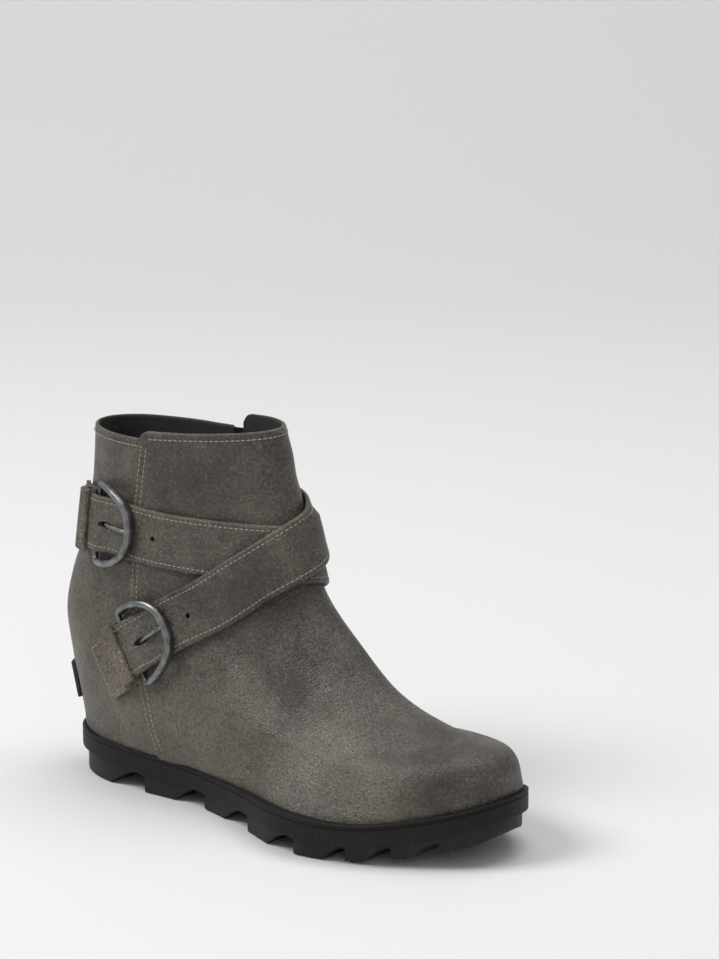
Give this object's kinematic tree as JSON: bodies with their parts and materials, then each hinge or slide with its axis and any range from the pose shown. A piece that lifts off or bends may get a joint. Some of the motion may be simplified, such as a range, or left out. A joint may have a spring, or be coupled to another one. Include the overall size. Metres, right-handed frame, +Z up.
{
  "type": "wedge ankle boot",
  "caption": "Right wedge ankle boot with two crossing buckle straps, inner side zip and a deep lugged rubber sole.",
  "frame": {"origin": "on the floor, in the middle of the heel's flat spot", "axes": "+X from heel to toe, +Y towards the inner side of the foot, +Z up"},
  "size_m": [0.2674, 0.1018, 0.1835],
  "materials": {
    "leather": "waxed, distressed grey-brown",
    "raw_leather": "raw, rough side out",
    "rubber": "matt black with fine grid",
    "footbed": "dark cloth on cork",
    "pewter": "aged pewter",
    "zip": "black nylon coil",
    "zip_metal": "dark gunmetal",
    "patch": "smooth dark, left bare"
  },
  "bodies": {
    "boot": {"upper": "leather", "midsole": "rubber", "outsole": "rubber", "insole": "footbed", "upper_strap": "leather", "lower_strap": "leather", "upper_keeper": "raw_leather", "lower_keeper": "raw_leather", "upper_buckle": "pewter", "lower_buckle": "pewter", "upper_prong": "pewter", "lower_prong": "pewter", "zip_coil": "zip", "zip_slider": "zip_metal", "heel_patch": "patch"},
    "pull": {"zip_pull": "zip_metal", "zip_tab": "leather"}
  },
  "joints": [
    {"name": "zip_pull_swing", "type": "hinge", "parent": "boot", "child": "pull", "pos_m": [0.04736, 0.03879, 0.16174], "axis": [0.9995, 0.0313, 0.0016], "range_deg": [0, 150]}
  ]
}
